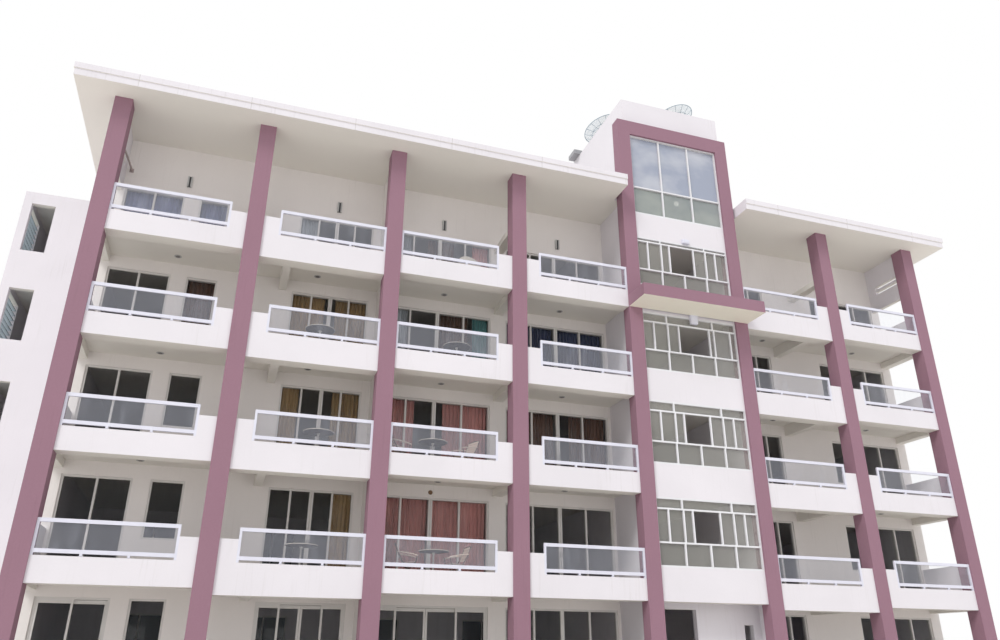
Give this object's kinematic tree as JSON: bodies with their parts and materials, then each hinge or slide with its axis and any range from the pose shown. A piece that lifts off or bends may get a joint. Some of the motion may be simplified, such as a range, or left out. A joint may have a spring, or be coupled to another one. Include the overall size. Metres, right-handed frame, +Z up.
{
  "type": "five-storey apartment block",
  "caption": "Apartment block with open balconies between full-height columns, oversailing roofs, a glazed stair tower and sliding ground-floor doors.",
  "frame": {"origin": "middle of the main block's footprint, on the ground", "axes": "+X along the front towards the right wing, +Y from the front to the rear, +Z up"},
  "size_m": [32.465, 11.63, 21.2633],
  "materials": {
    "mauve_render": "matt painted render",
    "white_render": "matt painted render",
    "soffit_paint": "matt painted concrete",
    "ground_concrete": "matt concrete",
    "railing_paint": "satin",
    "door_frames": "satin",
    "door_panes": "clear, dark behind",
    "railing_panes": "lightly tinted",
    "tower_panes": "tinted",
    "louvre_metal": "satin",
    "dish_mesh": "wire mesh",
    "mast_metal": "galvanised"
  },
  "bodies": {
    "building": {"balcony_parapets": "white_render", "columns": "mauve_render", "cross_beams": "soffit_paint", "dish_masts": "mast_metal", "door_glass": "door_panes", "door_rails": "door_frames", "door_stiles": "door_frames", "edge_beams": "soffit_paint", "end_panels": "white_render", "end_walls": "white_render", "entrance_wall_heads": "white_render", "entrance_wall_piers": "white_render", "fixed_leaf_frames": "door_frames", "fixed_leaf_glass": "door_panes", "floor_slabs": "soffit_paint", "front_wall_heads": "white_render", "front_wall_piers": "white_render", "ground_slab": "ground_concrete", "parapet_blocks": "white_render", "parapet_box": "mast_metal", "party_walls": "white_render", "railing_bars": "railing_paint", "railing_glass": "railing_panes", "railing_posts": "railing_paint", "rear_glass": "door_panes", "rear_wall_heads": "white_render", "rear_wall_piers": "white_render", "roof_caps": "white_render", "roof_dishes": "dish_mesh", "roof_slabs": "soffit_paint", "roof_ties": "soffit_paint", "side_parapets": "white_render", "tower_box_ends": "white_render", "tower_box_sides": "white_render", "tower_canopy": "mauve_render", "tower_crossbars": "door_frames", "tower_floors": "soffit_paint", "tower_glazing": "tower_panes", "tower_head_beam": "mauve_render", "tower_kerbs": "white_render", "tower_legs": "mauve_render", "tower_side_walls": "white_render", "tower_spandrels": "white_render", "tower_uprights": "door_frames", "wing_floors": "soffit_paint", "wing_infill": "white_render", "wing_louvres": "louvre_metal", "wing_sill_walls": "white_render", "wing_walls": "white_render"},
    "bay_1_leaf": {"bay_1_leaf_frame": "door_frames", "bay_1_leaf_glass": "door_panes"},
    "bay_2_left_leaf": {"bay_2_left_leaf_frame": "door_frames", "bay_2_left_leaf_glass": "door_panes"},
    "bay_2_right_leaf": {"bay_2_right_leaf_frame": "door_frames", "bay_2_right_leaf_glass": "door_panes"},
    "bay_3_left_leaf": {"bay_3_left_leaf_frame": "door_frames", "bay_3_left_leaf_glass": "door_panes"},
    "bay_3_right_leaf": {"bay_3_right_leaf_frame": "door_frames", "bay_3_right_leaf_glass": "door_panes"}
  },
  "joints": [
    {"name": "bay_1_leaf_slide", "type": "slide", "parent": "building", "child": "bay_1_leaf", "axis": [-1, 0, 0], "range_m": [0, 0.75]},
    {"name": "bay_2_left_leaf_slide", "type": "slide", "parent": "building", "child": "bay_2_left_leaf", "axis": [-1, 0, 0], "range_m": [0, 0.52]},
    {"name": "bay_2_right_leaf_slide", "type": "slide", "parent": "building", "child": "bay_2_right_leaf", "axis": [1, 0, 0], "range_m": [0, 0.52]},
    {"name": "bay_3_left_leaf_slide", "type": "slide", "parent": "building", "child": "bay_3_left_leaf", "axis": [-1, 0, 0], "range_m": [0, 0.83]},
    {"name": "bay_3_right_leaf_slide", "type": "slide", "parent": "building", "child": "bay_3_right_leaf", "axis": [1, 0, 0], "range_m": [0, 0.83]}
  ]
}
